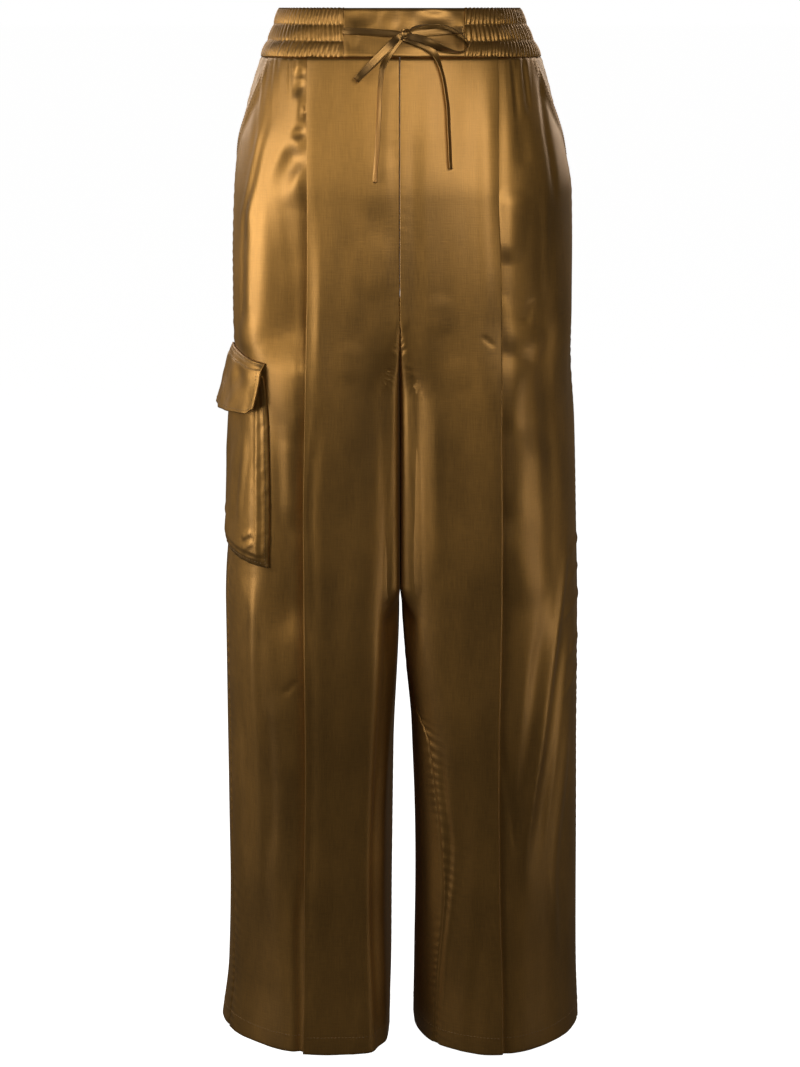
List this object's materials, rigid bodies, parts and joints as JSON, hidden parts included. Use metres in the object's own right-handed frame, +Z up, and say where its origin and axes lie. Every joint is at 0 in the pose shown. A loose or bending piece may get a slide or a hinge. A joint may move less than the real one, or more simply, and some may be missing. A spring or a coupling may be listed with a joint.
{
  "type": "cargo pants",
  "caption": "Wide-leg satin cargo pants with a drawstring elastic waist, pressed front pleats, slanted side pockets and a flap pocket on the right leg, as filled out.",
  "frame": {"origin": "middle of the waist opening, half way up the waistband, where the wearer's waist holds the garment", "axes": "+Z up towards the waist opening, -Y out of the front, +X towards the wearer's left"},
  "size_m": [0.3814, 0.2581, 1.054],
  "materials": {
    "satin": "glossy bronze satin with a fine weave",
    "drawstring": "narrow flat satin tie in the same cloth"
  },
  "bodies": {
    "root": {"front_right": "satin", "front_left": "satin", "back_right": "satin", "back_left": "satin", "pocket_facing_right": "satin", "pocket_facing_left": "satin", "waistband_front": "satin", "waistband_back": "satin", "cargo_pocket": "satin", "cargo_flap": "satin", "drawstring_knot": "drawstring", "drawstring_lead_right": "drawstring", "drawstring_lead_left": "drawstring", "drawstring_loop_right": "drawstring", "drawstring_loop_left": "drawstring", "drawstring_end_right": "drawstring", "drawstring_end_left": "drawstring"}
  },
  "joints": []
}
